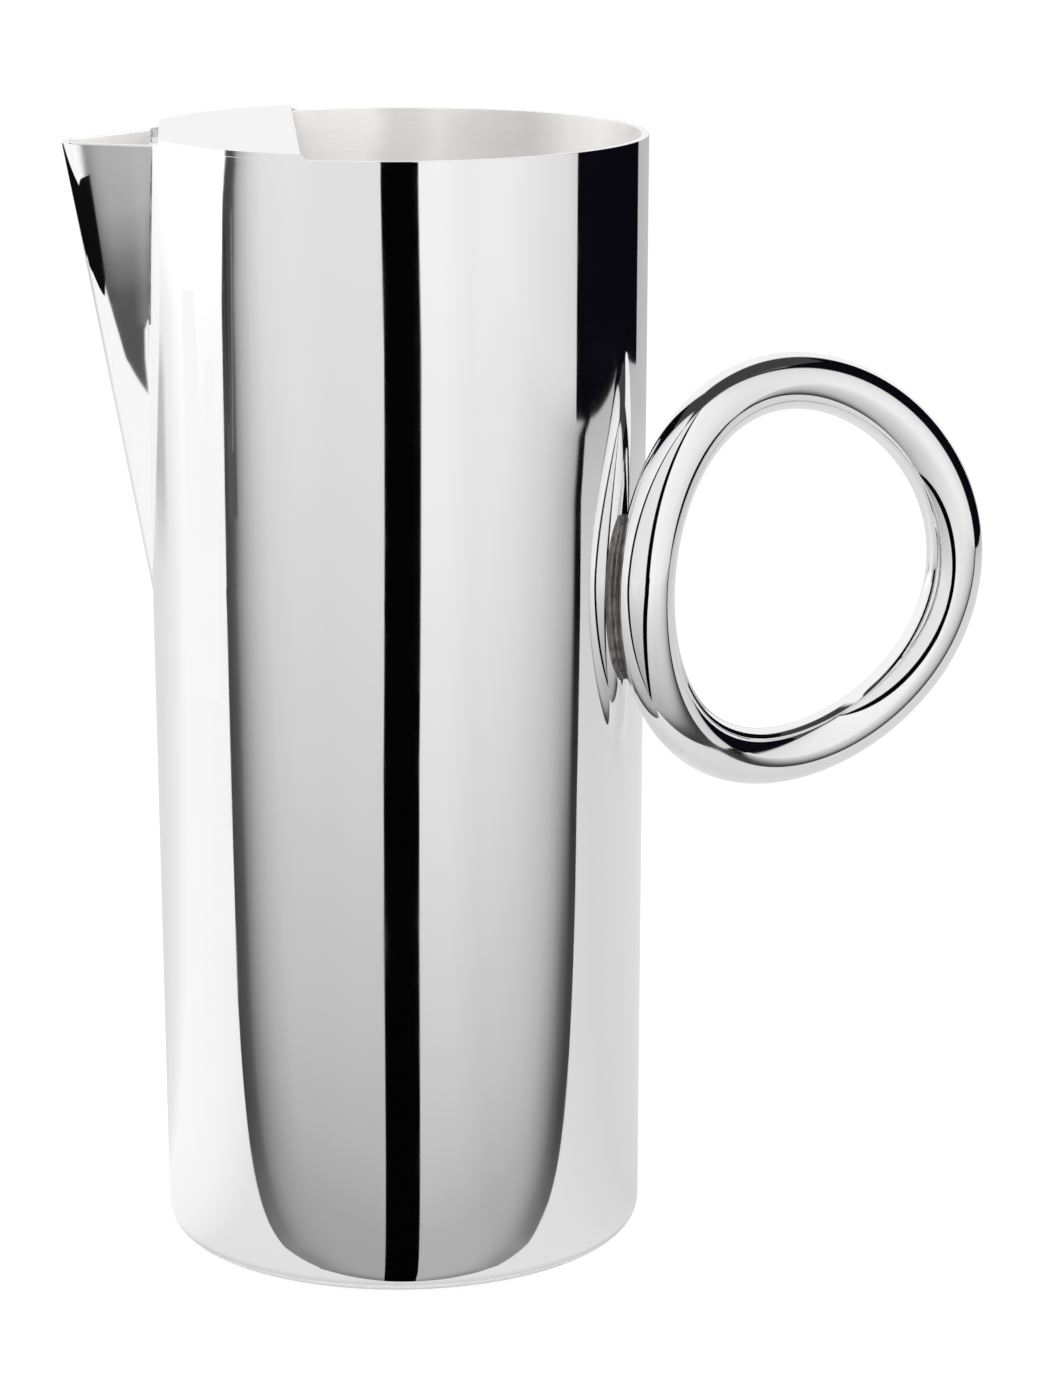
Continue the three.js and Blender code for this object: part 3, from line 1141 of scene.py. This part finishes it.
def makeStudio():
    size = studio["size"]
    edge = [(x, y, 0) for x, y in studio["frontEdge"]]
    back = edge + [(size, size, 0), (-size, size, 0)]
    front = edge[::-1] + [(-size, -size, 0), (size, -size, 0)]
    tableTop = tableFinish()
    studioCard("tableBack", back, tableTop, allRays)
    studioCard("tableFront", front, tableTop, [kind for kind in allRays if kind != "glossy"])
    studioCard("roomFront", front, roomFinish())
    flagPosts = [(x, y, 0, flags["height"]) for x, y in flags["foot"]]
    makePanels("flag", flagPosts, cardFinish("flag", flags))
    for name, card in cards.items():
        corners = [(card["x"] * mm, y * mm, z * mm) for y, z in card["outline"]]
        studioCard(name, corners, cardFinish(name, card))
    nosePosts = [[part * mm for part in post] for post in noseShade["posts"]]
    makePanels("noseShade", nosePosts, cardFinish("noseShade", noseShade))


# World: pale walls with a dark gap in front, dark corners at the sides and a dark beam overhead

walls = {
    "round": [  # levels in the metal, by degrees round from the front
        (-180, 0.92), (-95, 0.96), (-93, 0.05), (-85, 0.06), (-80, 0.66), (-60, 0.8), (-8.2, 0.82),
        (-7.7, 0.001), (7.2, 0.001), (7.7, 0.95), (60, 0.86), (84, 0.72), (87, 0.03), (93, 0.03), (95, 0.92),
        (180, 0.92)],
    "beamLevel": 0.05,
    "beamSlant": 0.2,
    "beamAcross": [(0.44, 0.0), (0.475, 1.0), (0.775, 1.0), (0.81, 0.0)],
    "beamAbove": [(0.42, 0.0), (0.5, 1.0)],
    "beamStart": [(0.35, 0.0), (0.39, 1.0)],
    "fill": 0.7,  # soft light on matt surfaces
}


def makeWorld():
    scene.world = bpy.data.worlds.new("studio")
    f = Finish(scene.world)
    x, y, z = studioAxes(f, f.node("TexCoord", None, None, "Generated"))
    across = f.ramp((y - x * walls["beamSlant"]) * 0.5 + 0.5, walls["beamAcross"])
    beam = f.ramp(z, walls["beamAbove"]) * across * f.ramp(x * 0.5 + 0.5, walls["beamStart"])
    level = f.roundRamp(bearing(f, x, y), walls["round"])
    mirrored = f.mixColour(beam, level, grey(walls["beamLevel"]))
    byEye, byMetal, byGlass = f.path("Is Camera Ray", "Is Glossy Ray", "Is Transmission Ray")
    colour = f.mixColour(byMetal, grey(walls["fill"]), mirrored)
    colour = f.mixColour(byEye + byGlass, colour, grey(1.0))
    f.end(f.node("Background", None, {"Color": colour, "Strength": 1.0}), "OutputWorld")


lamps = {
    "overhead": {"place": (-0.35, -0.5, 1.3), "size": 1.1, "watts": 36.0},
    "side": {"place": (1.1, -0.4, 0.8), "size": 0.9, "watts": 6.0},
}
lampAim = Vector((0, 0, 0.1))


def makeLamps():
    for name, lamp in lamps.items():
        data = bpy.data.lights.new(name, "AREA")
        data.size = lamp["size"]
        data.energy = lamp["watts"]
        light = bpy.data.objects.new(name, data)
        light.location = lamp["place"]
        light.rotation_euler = (lampAim - light.location).to_track_quat("-Z", "Y").to_euler()
        light.visible_glossy = False
        scene.collection.objects.link(light)


makeStudio()
makeWorld()
makeLamps()
print("studio ready")
